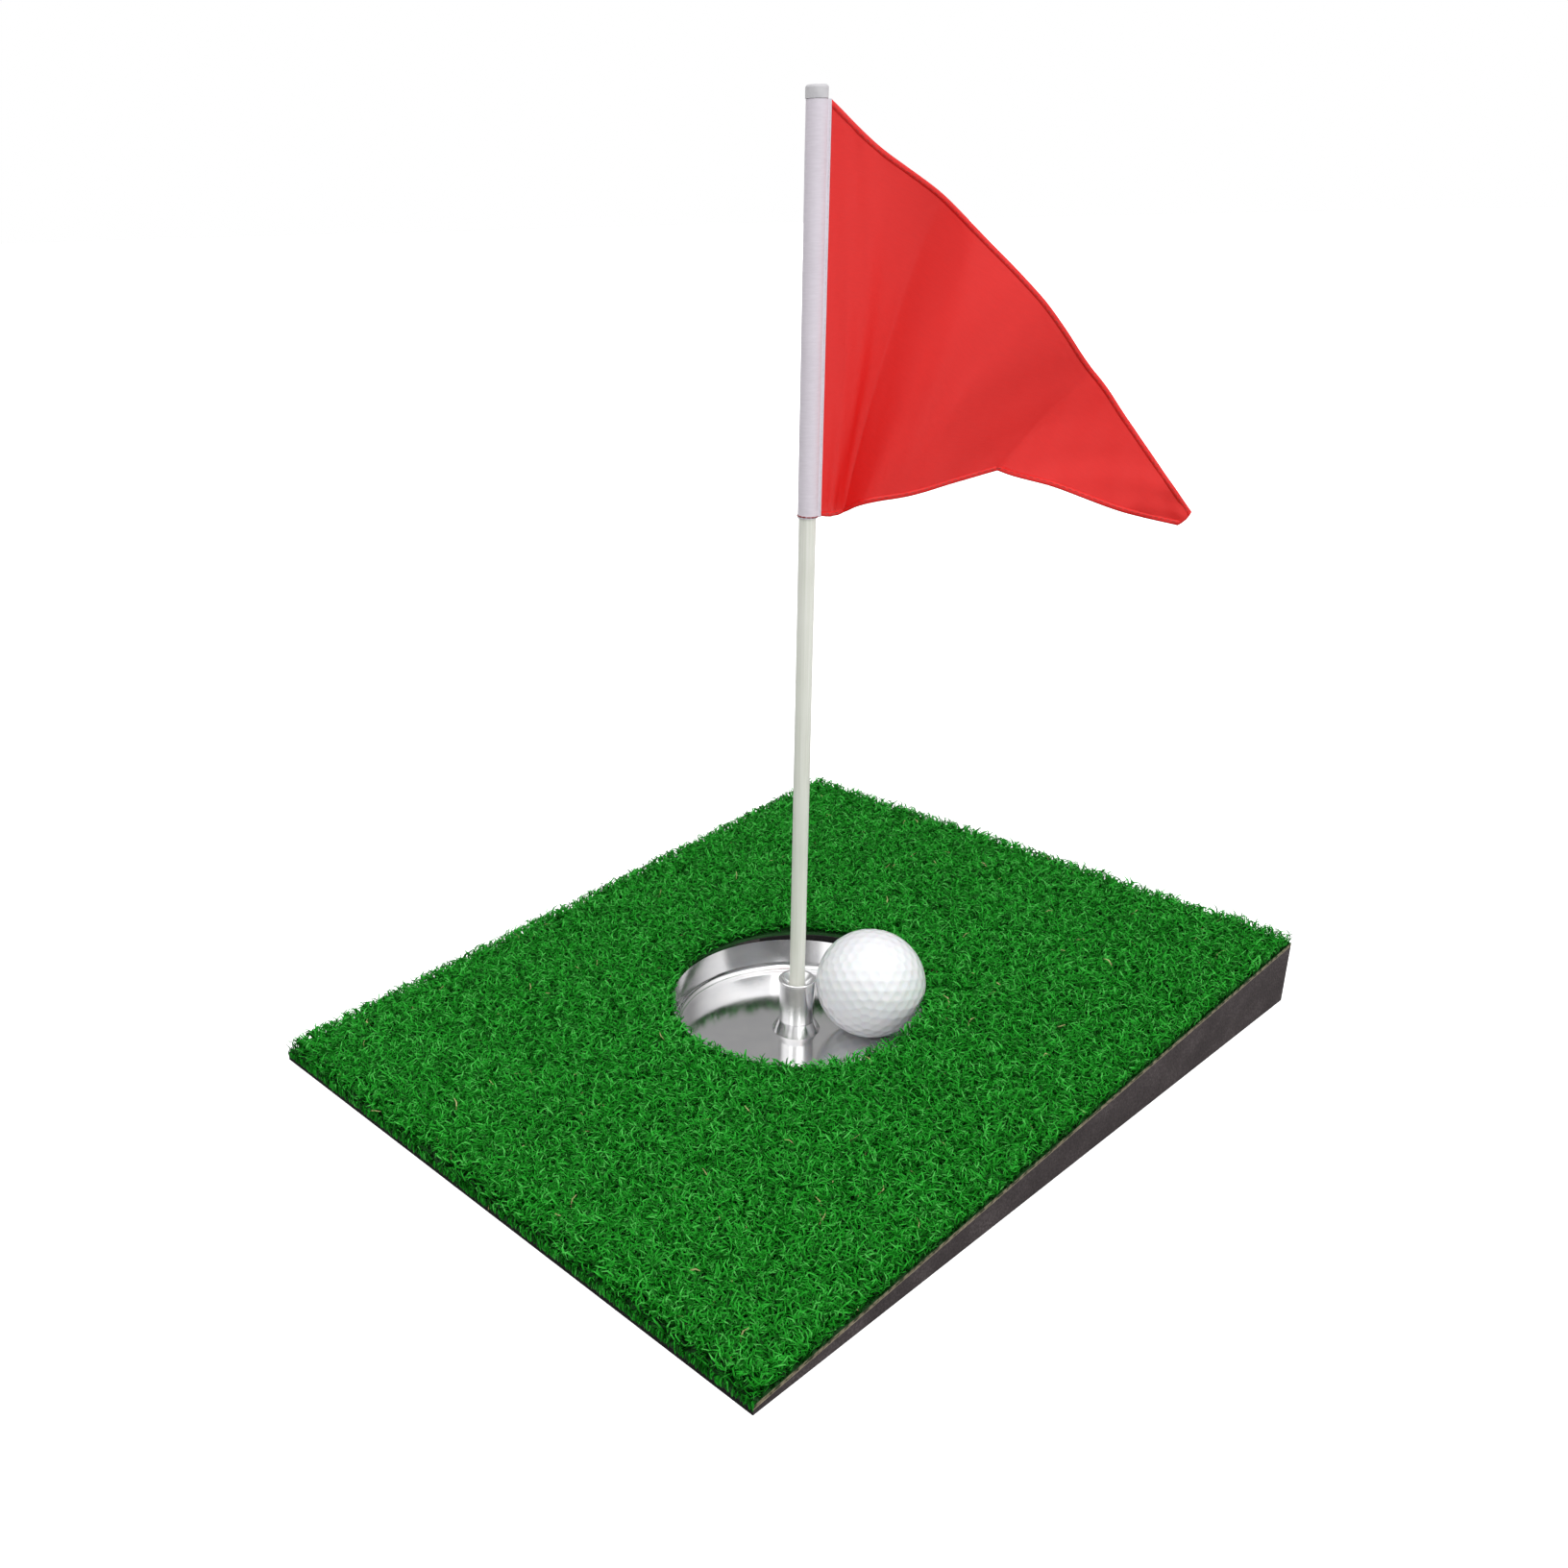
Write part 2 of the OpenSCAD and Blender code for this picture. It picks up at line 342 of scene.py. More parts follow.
def foam_material():
    """Dark closed-cell foam, cut with a blade: open cells, faint drag lines and dusty spots. The toe's cut
    face is painted near-black as shade.
    """
    made, tree, shader = material("foam", (0.066, 0.055, 0.056), 0.92, Specular_IOR_Level=0.25)
    where = own_position(tree)
    cell = cells(tree, where, 900)
    grain = noise(tree, where, 1500, 3)
    cloud = noise(tree, where, 60, 3)
    drag = noise(tree, own_position(tree, (60, 60, 900)), 1.0, 2)
    shades = [(0.3, (0.045, 0.038, 0.039)), (0.52, (0.078, 0.065, 0.066)), (0.72, (0.15, 0.128, 0.13))]
    colour = ramp(tree, weighted(tree, grain, 0.55, cloud, 0.45), shades)
    # Painted shade: the toe's cut face gets a near-black colour instead of the foam's.
    link(tree, blend_colours(tree, faces_front(tree), colour, FOAM_PAINTED_SHADE), shader, "Base Color")
    set_ramp(tree, shader, "Roughness", grain, [(0.2, 0.98), (0.8, 0.8)])
    height = math_node(tree, "ADD", cell, math_node(tree, "MULTIPLY", drag, 0.6))
    bump(tree, shader, height, 0.55, 0.0004)
    return made


def glue_material():
    """Dried glue in beads, with dark shade painted on its cut edges."""
    made, tree, shader = material("glue", (0.42, 0.35, 0.25), 0.45)
    bead = noise(tree, own_position(tree), 700, 3)
    dry = ramp(tree, bead, [(0.3, (0.2, 0.16, 0.11)), (0.6, (0.45, 0.38, 0.28))])
    # Painted shade: the cut edges at the toe and round the hole are near-black.
    link(tree, blend_colours(tree, shaded_cut_edges(tree), dry, GLUE_PAINTED_SHADE), shader, "Base Color")
    bump(tree, shader, bead, 0.6, 0.0003)
    return made


def backing_material():
    """Tan woven backing with painted shade: dark spots in the gaps between the tufts along its edge, and dark
    green on its top under the pile and on its cut edges.
    """
    made, tree, shader = material("backing", (0.27, 0.23, 0.15), 0.85)
    weave = cells(tree, own_position(tree, (420, 420, 700)), 1.0)
    yarn = noise(tree, own_position(tree), 900, 3)
    # The darkest stop paints shade in the gaps between the tufts.
    shades = [(0.25, (0.36, 0.3, 0.2)), (0.5, (0.25, 0.2, 0.13)), (0.62, (0.04, 0.045, 0.02))]
    edge = ramp(tree, weave, shades)
    fuzz = blend_colours(tree, math_node(tree, "MULTIPLY", yarn, 0.5), edge, (0.09, 0.12, 0.05))
    # Painted shade: dark green on the top under the pile and on the cut edges, in place of the tan.
    faces_up = math_node(tree, "GREATER_THAN", surface_normal(tree, "Z"), 0.5)
    painted_shade_mask = math_node(tree, "MAXIMUM", shaded_cut_edges(tree), faces_up)
    link(tree, blend_colours(tree, painted_shade_mask, fuzz, BACKING_PAINTED_SHADE), shader, "Base Color")
    set_ramp(tree, shader, "Roughness", yarn, [(0.2, 0.95), (0.8, 0.7)])
    bump(tree, shader, weave, 0.8, 0.0006)
    return made


def steel_material():
    """Polished stainless steel with faint wiping marks and fine scratches."""
    made, tree, shader = material("polished_steel", (0.76, 0.76, 0.765), 0.09, 1.0)
    smear = noise(tree, own_position(tree, (1, 1, 2.5)), 90, 4)
    scratch = noise(tree, own_position(tree, (2200, 160, 300)), 1.0, 3)
    set_ramp(tree, shader, "Base Color", smear, [(0.3, (0.73, 0.73, 0.74)), (0.7, (0.79, 0.785, 0.785))])
    link(tree, weighted(tree, smear, 0.16, scratch, 0.1), shader, "Roughness")
    bump(tree, shader, noise(tree, own_position(tree), 55, 2), 0.05, 0.0005)
    return made


def turned_steel_material():
    """Bright turned steel with a satin skin and the finest lathe lines round it."""
    made, tree, shader = material("turned_steel", (0.84, 0.84, 0.845), 0.24, 1.0)
    lines = noise(tree, own_position(tree, (60, 60, 5200)), 1.0, 2)
    cloud = noise(tree, own_position(tree), 320, 3)
    set_ramp(tree, shader, "Base Color", cloud, [(0.3, (0.8, 0.8, 0.805)), (0.7, (0.87, 0.868, 0.868))])
    set_ramp(tree, shader, "Roughness", lines, [(0.3, 0.13), (0.7, 0.2)])
    bump(tree, shader, lines, 0.12, 0.00005)
    return made


def zinc_material():
    """Zinc plate with a fine spangle."""
    made, tree, shader = material("zinc_plate", (0.55, 0.56, 0.57), 0.25, 1.0)
    spangle = cells(tree, own_position(tree), 1400, output="Color")
    grey = add(tree, "ShaderNodeSeparateColor", {0: spangle}).outputs[0]
    set_ramp(tree, shader, "Base Color", grey, [(0.0, (0.48, 0.49, 0.5)), (1.0, (0.62, 0.63, 0.64))])
    set_ramp(tree, shader, "Roughness", grey, [(0.0, 0.2), (1.0, 0.34)])
    bump(tree, shader, grey, 0.1, 0.0001)
    return made


def rod_material():
    """Cream glass-fibre rod: fine fibre streaks along it under a satin skin."""
    made, tree, shader = material("rod_resin", (0.72, 0.73, 0.67), 0.35, Coat_Weight=0.25, Coat_Roughness=0.2)
    streak = noise(tree, own_position(tree, (1700, 1700, 22)), 1.0, 3)
    cloud = noise(tree, own_position(tree), 35, 3)
    shades = [(0.3, (0.7, 0.71, 0.63)), (0.5, (0.8, 0.805, 0.735)), (0.7, (0.87, 0.87, 0.82))]
    link(tree, ramp(tree, weighted(tree, streak, 0.6, cloud, 0.4), shades), shader, "Base Color")
    set_ramp(tree, shader, "Roughness", streak, [(0.3, 0.45), (0.7, 0.28)])
    bump(tree, shader, streak, 0.25, 0.00012)
    return made


def cap_material():
    """Moulded pale plastic with a fine grain."""
    made, tree, shader = material("cap_plastic", (0.6, 0.59, 0.61), 0.5, Specular_IOR_Level=0.3)
    where = own_position(tree)
    texture = noise(tree, where, 2500, 2)
    cloud = noise(tree, where, 260, 3)
    set_ramp(tree, shader, "Base Color", cloud, [(0.3, (0.54, 0.53, 0.555)), (0.7, (0.64, 0.63, 0.65))])
    set_ramp(tree, shader, "Roughness", texture, [(0.2, 0.6), (0.8, 0.45)])
    bump(tree, shader, texture, 0.2, 0.00006)
    return made


def cloth_material(name, deep, light, thread, sheen, roughness):
    """Plain-woven polyester. The weave follows the piece's flat map, in metres."""
    made, tree, shader = material(
        name, light, roughness, Sheen_Weight=sheen, Sheen_Roughness=0.35, Specular_IOR_Level=0.38
    )
    flat = add(tree, "ShaderNodeUVMap", uv_map="flat").outputs["UV"]
    across, along = (
        add(
            tree, "ShaderNodeTexWave", {"Vector": flat, "Scale": 1 / thread / 3.1416},
            wave_type="BANDS", bands_direction=axis,
        ).outputs["Fac"]
        for axis in "XY"
    )
    weave = math_node(tree, "MULTIPLY", across, along)
    drawn_out = add(tree, "ShaderNodeMapping", {"Vector": flat, "Scale": (1, 6, 1)}).outputs[0]
    slub = noise(tree, drawn_out, 260, 3)
    cloud = noise(tree, own_position(tree), 45, 3)
    uneven = weighted(tree, slub, 0.4, cloud, 0.3)
    tone = math_node(tree, "ADD", math_node(tree, "MULTIPLY", weave, 0.3), uneven)
    set_ramp(tree, shader, "Base Color", tone, [(0.15, deep), (0.65, light)])
    set_ramp(tree, shader, "Roughness", slub, [(0.2, roughness + 0.08), (0.8, roughness - 0.08)])
    bump(tree, shader, weave, 0.35, 0.00008)
    return made


def thread_material(name, colour):
    """Twisted sewing thread."""
    made, tree, shader = material(name, colour, 0.55, Sheen_Weight=0.3)
    twist = noise(tree, own_position(tree), 5000, 1)
    dark = tuple(0.6 * c for c in colour)
    set_ramp(tree, shader, "Base Color", twist, [(0.3, dark), (0.7, colour)])
    return made


def ball_material():
    """White urethane cover under a clear coat, with the faintest mottling."""
    made, tree, shader = material(
        "ball_cover", (0.87, 0.88, 0.9), 0.32, Coat_Weight=0.6, Coat_Roughness=0.12,
        Subsurface_Weight=0.15, Subsurface_Scale=0.001,
    )
    where = own_position(tree)
    cloud = noise(tree, where, 120, 4)
    set_ramp(tree, shader, "Base Color", cloud, [(0.3, (0.815, 0.825, 0.855)), (0.7, (0.865, 0.875, 0.895))])
    set_ramp(tree, shader, "Roughness", cloud, [(0.2, 0.42), (0.8, 0.26)])
    bump(tree, shader, noise(tree, where, 1800, 2), 0.06, 0.00005)
    return made


def dress(node, made):
    """Gives a CAD node its material."""
    slots = nodes[node].data.materials
    if len(slots) == 0:
        slots.append(made)
    for index in range(len(slots)):
        slots[index] = made


dress("ramp_base", foam_material())
dress("glue_film", glue_material())
dress("turf_backing", backing_material())
dress("hole_cup", steel_material())
dress("socket_post", turned_steel_material())
zinc = zinc_material()
dress("post_washer", zinc)
dress("post_screw", zinc)
dress("flag_rod", rod_material())
dress("rod_cap", cap_material())


# ---------------------------------------------------------------- meshes


def make_object(name, points, faces):
    """A smooth object from points (n, 3) in metres and faces: an (m, 4) array or a list of lists."""
    mesh = bpy.data.meshes.new(name)
    if isinstance(faces, np.ndarray):
        count, sides = faces.shape
        mesh.vertices.add(len(points))
        mesh.vertices.foreach_set("co", np.asarray(points, np.float32).ravel())
        mesh.loops.add(count * sides)
        mesh.loops.foreach_set("vertex_index", faces.astype(np.int32).ravel())
        mesh.polygons.add(count)
        mesh.polygons.foreach_set("loop_start", np.arange(0, count * sides, sides, dtype=np.int32))
        mesh.update(calc_edges=True)
        mesh.validate()
    else:
        mesh.from_pydata([tuple(p) for p in points], [], faces)
    mesh.polygons.foreach_set("use_smooth", np.ones(len(mesh.polygons), bool))
    made = bpy.data.objects.new(name, mesh)
    scene.collection.objects.link(made)
    return made


def corners(node):
    """The corners of a CAD node's mesh at rest."""
    return np.array([v.co for v in nodes[node].data.vertices], float)


# ---------------------------------------------------------------- turf

# Tufts stand on a jittered grid, inset from the ramp's edges. HOLE_REACH is how far a fibre may lean over
# the hole, and the gaps keep it off the cup's rim and the ball.
TUFT_GAUGE = 2.2 * MM
TUFT_STITCH = 2.0 * MM
TUFT_INSET = 0.7 * MM
FIBRES_PER_TUFT = 7
HOLE_REACH = 2.3 * MM
RIM_GAP = 0.12 * MM
BALL_GAP = 0.15 * MM
STRAW_SHARE = 0.0015
TILE_COLUMNS, TILE_ROWS = 2, 4

PILE_GREENS = [
    (0.002, 0.08, 0.003), (0.004, 0.15, 0.006), (0.008, 0.24, 0.01),
    (0.014, 0.32, 0.018), (0.032, 0.41, 0.036), (0.08, 0.5, 0.08),
]
PILE_SHARE = [0.18, 0.21, 0.25, 0.2, 0.12, 0.04]
STRAW = (0.42, 0.4, 0.16)


def pile_materials():
    """One plain material for each shade of fibre, and a dark one that paints shade on the fibres' roots."""
    # The root material is a dark green that paints shade at the fibres' feet.
    made = [material("pile_root_painted_shade", (0.003, 0.06, 0.004), 0.8, Specular_IOR_Level=0.05)[0]]
    for index, green in enumerate(PILE_GREENS):
        made.append(material(f"pile_{index + 1}", green, 0.5, Specular_IOR_Level=0.12)[0])
    made.append(material("pile_straw", STRAW, 0.5)[0])
    return made


def turf_roots(rng, low, high, hole_r):
    """Roots of the fibres: tufts on a jittered grid, a few fibres each, none over the hole."""
    x = np.arange(low.x + TUFT_INSET, high.x - 0.5 * MM, TUFT_GAUGE)
    y = np.arange(low.y + TUFT_INSET, high.y - 0.5 * MM, TUFT_STITCH)
    grid = np.stack(np.meshgrid(x, y), -1).reshape(-1, 2)
    grid = grid + rng.uniform(-0.5, 0.5, grid.shape) * (TUFT_GAUGE, TUFT_STITCH)
    spread = rng.normal(0, 0.45 * MM, (len(grid) * FIBRES_PER_TUFT, 2))
    roots = np.repeat(grid, FIBRES_PER_TUFT, axis=0) + spread
    inside = 0.3 * MM
    roots[:, 0] = np.clip(roots[:, 0], low.x + inside, high.x - inside)
    roots[:, 1] = np.clip(roots[:, 1], low.y + inside, high.y - inside)
    return roots[np.hypot(roots[:, 0], roots[:, 1]) > hole_r + inside]


def lean_out(rng, roots, lean):
    """Fibres along the ramp's own edges lean out over them, most of all at the front."""
    low, high = roots.min(axis=0), roots.max(axis=0)
    band = 1.8 * MM
    for axis, edge, heading, share in (
        (1, low[1], -np.pi / 2, 0.85), (1, high[1], np.pi / 2, 0.6),
        (0, low[0], np.pi, 0.6), (0, high[0], 0.0, 0.5),
    ):
        here = np.abs(roots[:, axis] - edge) < band
        here &= rng.random(len(roots)) < share
        lean = np.where(here, heading + rng.normal(0, 0.5, len(roots)), lean)
    return lean


def drape_front(rng, roots, points):
    """The fibres rooted along the toe are pressed over its edge, and hide the backing."""
    edge = roots[:, 1].min()
    here = (roots[:, 1] < edge + 2.2 * MM) & (rng.random(len(roots)) < 0.75)
    number = int(here.sum())
    front = edge - rng.uniform(0.45, 0.75, number) * MM
    drift = rng.normal(0, 1.3, number) * MM
    drop = rng.uniform(0.9, 1.9, number) * MM
    arch = rng.uniform(0.8, 2.6, number) * MM
    block = points[here]
    for k in range(1, block.shape[1]):
        t = k / (block.shape[1] - 1)
        out = min(1.0, 1.5 * t)
        block[:, k, 0] = block[:, 0, 0] + drift * t
        block[:, k, 1] = block[:, 0, 1] * (1 - out) + front * out
        block[:, k, 2] = block[:, 0, 2] + arch * math.sin(math.pi * min(1.0, t * 1.25)) - drop * t**2
    points[here] = block


def turf_fibres(rng, roots, ground, hole_r):
    """Curled flat fibres: (fibres, rings, sides, 3) points. Those near the hole lean out over it."""
    count, rings = len(roots), 5
    lean = rng.uniform(0, 2 * np.pi, count)
    distance = np.hypot(roots[:, 0], roots[:, 1]) - hole_r
    near = np.clip(1 - distance / (3.5 * MM), 0, 1)
    inward = np.arctan2(-roots[:, 1], -roots[:, 0]) + rng.normal(0, 0.5, count)
    lean = np.where(rng.random(count) < 0.8 * near, inward, lean)
    lean = lean_out(rng, roots, lean)
    tilt_root = np.radians(rng.uniform(0, 25, count))
    tilt_tip = np.radians(rng.uniform(60, 135, count))
    curl = rng.choice([-1, 1], count) * rng.uniform(1.2, 4.2, count) * (1 - 0.7 * near)
    length = rng.uniform(6.2, 8.4, count) * MM
    width = rng.uniform(0.5, 0.75, count) * MM
    twist, turning = rng.uniform(-0.6, 0.6, count), rng.normal(0, 0.5, count)
    profile = np.array([0.9, 1.0, 1.0, 0.8, 0.3])
    points = np.zeros((count, rings, 3))
    points[:, 0, :2] = roots
    points[:, 0, 2] = ground(roots[:, 1])
    sides = np.zeros((count, rings, 3))
    for k in range(rings):
        t = (k - 0.5) / (rings - 1) if k else 0.0
        tilt = tilt_root + (tilt_tip - tilt_root) * t**1.15
        heading = lean + curl * t
        level = np.sin(tilt)
        step = np.stack([level * np.cos(heading), level * np.sin(heading), np.cos(tilt)], -1)
        if k:
            points[:, k] = points[:, k - 1] + step * (length / (rings - 1))[:, None]
        flat = np.stack([-np.sin(heading), np.cos(heading), np.zeros(count)], -1)
        angle = (twist + turning * t)[:, None]
        side = np.cos(angle) * flat + np.sin(angle) * np.cross(step, flat)
        sides[:, k] = side * (width * profile[k] / 2)[:, None]
    rise = points[:, :, 2] - points[:, :1, 2]
    most = rng.uniform(4.9, 6.5, count) * MM
    points[:, :, 2] -= rise * (1 - np.minimum(1, most / rise.max(axis=1)))[:, None]
    drape_front(rng, roots, points)
    return np.stack([points - sides, points + sides], axis=2)


def keep_clear(points, hole_r):
    """Fibres lie against the ball and on the cup's rim, and stop a little past the ramp's edges."""
    radius = np.hypot(points[..., 0], points[..., 1])
    grow = np.maximum(1, (hole_r - HOLE_REACH) / np.maximum(radius, 1e-6))
    points[..., :2] *= grow[..., None]
    radius = radius * grow
    cup_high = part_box("hole_cup")[1]
    outer, rim = cup_high.x + RIM_GAP, cup_high.z + RIM_GAP
    low = points[..., 2] < rim
    wall = outer - 0.9 * MM
    beside = (low & (radius < outer) & (radius > wall))[..., None]
    points[..., :2] = np.where(beside, points[..., :2] * outer / radius[..., None], points[..., :2])
    points[..., 2] = np.where(low & (radius <= wall), rim, points[..., 2])
    pile_low, pile_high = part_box("turf_pile")
    points[..., 0] = np.clip(points[..., 0], pile_low.x - 1.0 * MM, pile_high.x + 0.5 * MM)
    points[..., 1] = np.clip(points[..., 1], pile_low.y - 0.5 * MM, pile_high.y + 1.0 * MM)
    ball_low, ball_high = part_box("golf_ball")
    centre, ball_r = np.array((ball_low + ball_high) / 2), (ball_high.z - ball_low.z) / 2 + BALL_GAP
    away = points - centre
    far = np.linalg.norm(away, axis=-1, keepdims=True)
    return centre + away * np.maximum(1, ball_r / far)


def fibre_colours(rng, count):
    """Material index of each fibre's four segments: painted shade at the root, then a shade darker as painted
    shade, then the fibre's own shade, and a shade lighter at the end as a painted highlight.
    """
    shade = rng.choice(len(PILE_GREENS), count, p=np.array(PILE_SHARE) / sum(PILE_SHARE)) + 1
    straw = rng.random(count) < STRAW_SHARE
    tip = np.where(straw, len(PILE_GREENS) + 1, shade)
    # The middle segment is one shade darker as painted shade, and the end one shade lighter as a painted
    # highlight.
    shaded_mid = np.where(straw, tip, np.maximum(shade - 1, 1))
    end = np.where(straw, tip, np.minimum(shade + 1, len(PILE_GREENS)))
    return np.stack([np.zeros(count, int), shaded_mid, tip, end], -1)


def make_turf():
    """The pile, in tiles. The first tile stands for the CAD slab."""
    rng = np.random.default_rng(4)
    low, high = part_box("turf_pile")
    heel_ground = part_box("turf_backing")[1].z
    slab = corners("turf_pile")
    hole_r = np.hypot(slab[:, 0], slab[:, 1]).min()

    def ground(y):
        return low.z + (heel_ground - low.z) * (y - low.y) / (high.y - low.y)

    roots = turf_roots(rng, low, high, hole_r)
    points = keep_clear(turf_fibres(rng, roots, ground, hole_r), hole_r)
    colours = fibre_colours(rng, len(roots))
    shades = pile_materials()
    rings = points.shape[1]
    quads = np.array([[2 * k, 2 * k + 1, 2 * k + 3, 2 * k + 2] for k in range(rings - 1)])
    share = (roots - (low.x, low.y)) / (high.x - low.x, high.y - low.y)
    column = np.minimum(share[:, 0] * TILE_COLUMNS, TILE_COLUMNS - 1e-6).astype(int)
    row = np.minimum(share[:, 1] * TILE_ROWS, TILE_ROWS - 1e-6).astype(int)
    for tile in range(TILE_COLUMNS * TILE_ROWS):
        here = row * TILE_COLUMNS + column == tile
        block = points[here].reshape(-1, 3)
        count = int(here.sum())
        faces = (quads[None] + (np.arange(count) * 2 * rings)[:, None, None]).reshape(-1, 4)
        made = make_object(f"turf_fibres_{tile + 1}", block, faces)
        for shade in shades:
            made.data.materials.append(shade)
        made.data.polygons.foreach_set("material_index", colours[here].ravel().astype(np.int32))
        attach(made, "ramp")
        if tile == 0:
            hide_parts("turf_pile")


make_turf()


# ---------------------------------------------------------------- golf ball

DIMPLE_RADIUS = 1.92 * MM
DIMPLE_DEPTH = 0.24 * MM


def dimple_centres(steps):
    """Points spread evenly over a sphere: the corners of an icosahedron whose faces are split in steps."""
    solid = bmesh.new()
    bmesh.ops.create_icosphere(solid, subdivisions=1, radius=1)
    found = {}
    for face in solid.faces:
        a, b, c = (v.co for v in face.verts)
        for i in range(steps + 1):
            for j in range(steps + 1 - i):
                p = (a * i + b * j + c * (steps - i - j)).normalized()
                found[tuple(round(x, 4) for x in p)] = p
    solid.free()
    return np.array(list(found.values()))


def make_ball():
    """The ball with its dimples. The mesh and the dimples are turned differently, so that no rows line up."""
    low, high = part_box("golf_ball")
    centre, radius = (low + high) / 2, (high.z - low.z) / 2
    solid = bmesh.new()
    bmesh.ops.create_icosphere(solid, subdivisions=7, radius=1)
    turn = Matrix.Rotation(0.7, 4, Vector((0.3, 1, 0.2)).normalized())
    bmesh.ops.transform(solid, matrix=Matrix.Rotation(0.4, 4, "X"), verts=solid.verts)
    mesh = bpy.data.meshes.new("ball_cover")
    solid.to_mesh(mesh)
    solid.free()
    out = np.zeros(len(mesh.vertices) * 3)
    mesh.vertices.foreach_get("co", out)
    out = out.reshape(-1, 3)
    out /= np.linalg.norm(out, axis=1, keepdims=True)
    middles = dimple_centres(6) @ np.array(turn.to_3x3()).T
    nearest = np.concatenate([(part @ middles.T).max(axis=1) for part in np.array_split(out, 16)])
    away = np.arccos(np.clip(nearest, -1, 1)) * radius
    inside = np.clip(1 - (away / DIMPLE_RADIUS) ** 2, 0, 1)
    sink = DIMPLE_DEPTH * inside**1.25
    out = out * (radius - sink)[:, None] + np.array(centre)
    mesh.vertices.foreach_set("co", out.astype(np.float32).ravel())
    mesh.polygons.foreach_set("use_smooth", np.ones(len(mesh.polygons), bool))
    mesh.materials.append(ball_material())
    made = bpy.data.objects.new("ball_cover", mesh)
    scene.collection.objects.link(made)
    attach(made, "ball")
    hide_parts("golf_ball")


make_ball()


# ---------------------------------------------------------------- flag

FLAG_ANGLE = math.radians(48)
FLAG_ALONG = np.array([math.cos(FLAG_ANGLE), math.sin(FLAG_ANGLE), 0])
FLAG_FACING = np.array([math.sin(FLAG_ANGLE), -math.cos(FLAG_ANGLE), 0])

# The flat pennant: its hoist, its length, its blunt tip and its slanted edges.
FLAG_HOIST = 0.127
FLAG_LENGTH = 0.172
FLAG_TIP = 0.006
FLAG_EDGE = 0.186

# Lines that run from the flag's upper edge to its lower one. Each is (share of the flag's length,
# sharpness, top, middle, bottom), and a point is (out from the hoist, up from the hoist's foot,
# towards the front), in mm.
FLAG_LINES = [
    (0.00, 0.0, (-0.1, 127, 0), (-0.1, 67, 0), (-0.1, 0, 0)),
    (0.14, 0.0, (16.5, 112.9, -0.8), (13, 64.5, -2.5), (4.2, -0.7, -3)),
    (0.25, 0.7, (37, 99.3, -3.2), (22.5, 58, -7), (8.5, 0, -5.5)),
    (0.33, 0.1, (47.5, 89.2, 0.4), (32.5, 50, 1.4), (14, 3.6, 0.8)),
    (0.46, 0.3, (69, 69.2, 1.6), (44, 38, 2.6), (29.5, 6.3, 2)),
    (0.64, 1.0, (90, 45.4, -4), (75.2, 29.5, -6.5), (61.3, 12.8, -6.5)),
    (0.665, 0.3, (92.6, 42.6, -3.6), (78, 27.4, -5.6), (64.4, 11.7, -5)),
    (0.77, 0.0, (103.2, 28.7, -1.4), (91.4, 17.6, -2.2), (79, 7.8, -2)),
    (0.90, 0.4, (117.8, 10, 1.2), (111, 4.5, 1.4), (104, -1.2, 1)),
    (1.00, 0.0, (128, -2, -0.8), (126.5, -4.5, -0.8), (124, -6.5, -1)),
]

# The line of the sharp crease that ends in the lower edge's notch.
CREASE = 5


def line_points(t):
    """Where each flag line is at t, from 0 on the upper edge to 1 on the lower."""
    table = np.array([line[2:] for line in FLAG_LINES], float)
    top, middle, bottom = table[:, 0], table[:, 1], table[:, 2]
    return top * (1 - t) * (1 - 2 * t) + middle * 4 * t * (1 - t) + bottom * t * (2 * t - 1)


def slopes_through(x, y, keep_crests):
    """Slopes for a smooth curve through points. With keep_crests, a crest stays where its point is."""
    gaps = np.diff(x)
    steep = np.diff(y, axis=0) / gaps[:, None]
    slope = np.zeros_like(y)
    slope[0], slope[-1] = steep[0], steep[-1]
    for i in range(1, len(x) - 1):
        mean = (steep[i - 1] * gaps[i] + steep[i] * gaps[i - 1]) / (gaps[i - 1] + gaps[i])
        crest = steep[i - 1] * steep[i] <= 0
        slope[i] = np.where(crest, 0, mean) if keep_crests else mean
    return slope


def curve_through(x, y, at, keep_crests=False):
    """Cubic curve through the points (x, y), read at the values at."""
    slope = slopes_through(x, y, keep_crests)
    i = np.clip(np.searchsorted(x, at, side="right") - 1, 0, len(x) - 2)
    gap = (x[i + 1] - x[i])[:, None]
    t = ((at - x[i]) / gap[:, 0])[:, None]
    return (
        y[i] * (1 + 2 * t) * (1 - t) ** 2
        + slope[i] * gap * t * (1 - t) ** 2
        + y[i + 1] * t**2 * (3 - 2 * t)
        + slope[i + 1] * gap * t**2 * (t - 1)
    )


def flag_origin():
    """The foot of the hoist: how far out it is, and how high."""
    cloth = corners("flag_panel")
    out = cloth @ FLAG_ALONG
    hoist = cloth[out < out.min() + 0.2 * MM]
    return out.min(), hoist[:, 2].min()


